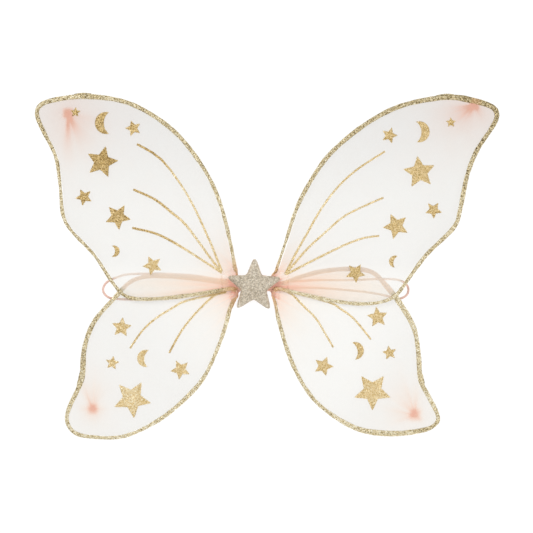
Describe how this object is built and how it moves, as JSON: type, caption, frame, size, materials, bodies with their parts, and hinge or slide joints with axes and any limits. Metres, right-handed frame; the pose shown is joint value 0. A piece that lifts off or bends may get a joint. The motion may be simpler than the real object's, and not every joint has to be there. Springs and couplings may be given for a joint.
{
  "type": "fairy wings",
  "caption": "Costume fairy wings: four sheer nylon wings on bent wire loops, glitter edging and motifs, a padded star hub and elastic shoulder straps.",
  "frame": {"origin": "the hub's back face, behind the middle of the centre star", "axes": "+X along the wingspan to the right as seen from the star side, +Y up the wearer's back, +Z out of the back through the star; the wings lie flat with the star up"},
  "size_m": [0.522, 0.3891, 0.016],
  "materials": {
    "wire": "drawn steel wire",
    "gold_glitter": "coarse pale gold glitter",
    "silver_gold_glitter": "fine silver-gold glitter fabric",
    "sheer_nylon": "sheer stretched nylon",
    "hub_nylon": "gathered peach nylon",
    "star_felt": "felt",
    "wadding": "soft wadding",
    "elastic": "thin braided elastic"
  },
  "bodies": {
    "root": {"back_patch": "hub_nylon", "hub_core": "hub_nylon", "hub_wrap": "hub_nylon", "star_backing": "star_felt", "star_padding": "wadding", "star_face": "silver_gold_glitter", "star_rim_seam": "silver_gold_glitter", "left_strap": "elastic", "right_strap": "elastic"},
    "upper_left_wing": {"upper_left_wire": "wire", "upper_left_splice": "gold_glitter", "upper_left_edging": "gold_glitter", "upper_left_nylon": "sheer_nylon", "upper_left_veins": "gold_glitter", "upper_left_stars": "gold_glitter", "upper_left_moons": "gold_glitter", "upper_left_tip_knot": "hub_nylon"},
    "upper_right_wing": {"upper_right_wire": "wire", "upper_right_splice": "gold_glitter", "upper_right_edging": "gold_glitter", "upper_right_nylon": "sheer_nylon", "upper_right_veins": "gold_glitter", "upper_right_stars": "gold_glitter", "upper_right_moons": "gold_glitter", "upper_right_tip_knot": "hub_nylon"},
    "lower_left_wing": {"lower_left_wire": "wire", "lower_left_splice": "gold_glitter", "lower_left_edging": "gold_glitter", "lower_left_nylon": "sheer_nylon", "lower_left_veins": "gold_glitter", "lower_left_stars": "gold_glitter", "lower_left_moon": "gold_glitter", "lower_left_tip_knot": "hub_nylon"},
    "lower_right_wing": {"lower_right_wire": "wire", "lower_right_splice": "gold_glitter", "lower_right_edging": "gold_glitter", "lower_right_nylon": "sheer_nylon", "lower_right_veins": "gold_glitter", "lower_right_stars": "gold_glitter", "lower_right_moon": "gold_glitter", "lower_right_tip_knot": "hub_nylon"}
  },
  "joints": [
    {"name": "lower_left_wing_bend", "type": "hinge", "parent": "root", "child": "lower_left_wing", "pos_m": [-0.019, 0, 0.0067], "axis": [0, 1, 0], "range_deg": [0, 45]},
    {"name": "upper_left_wing_bend", "type": "hinge", "parent": "lower_left_wing", "child": "upper_left_wing", "pos_m": [-0.019, 0, 0.0067], "axis": [0, 1, 0], "range_deg": [0, 25]},
    {"name": "lower_right_wing_bend", "type": "hinge", "parent": "root", "child": "lower_right_wing", "pos_m": [0.021, 0, 0.0067], "axis": [0, -1, 0], "range_deg": [0, 45]},
    {"name": "upper_right_wing_bend", "type": "hinge", "parent": "lower_right_wing", "child": "upper_right_wing", "pos_m": [0.021, 0, 0.0067], "axis": [0, -1, 0], "range_deg": [0, 25]}
  ]
}
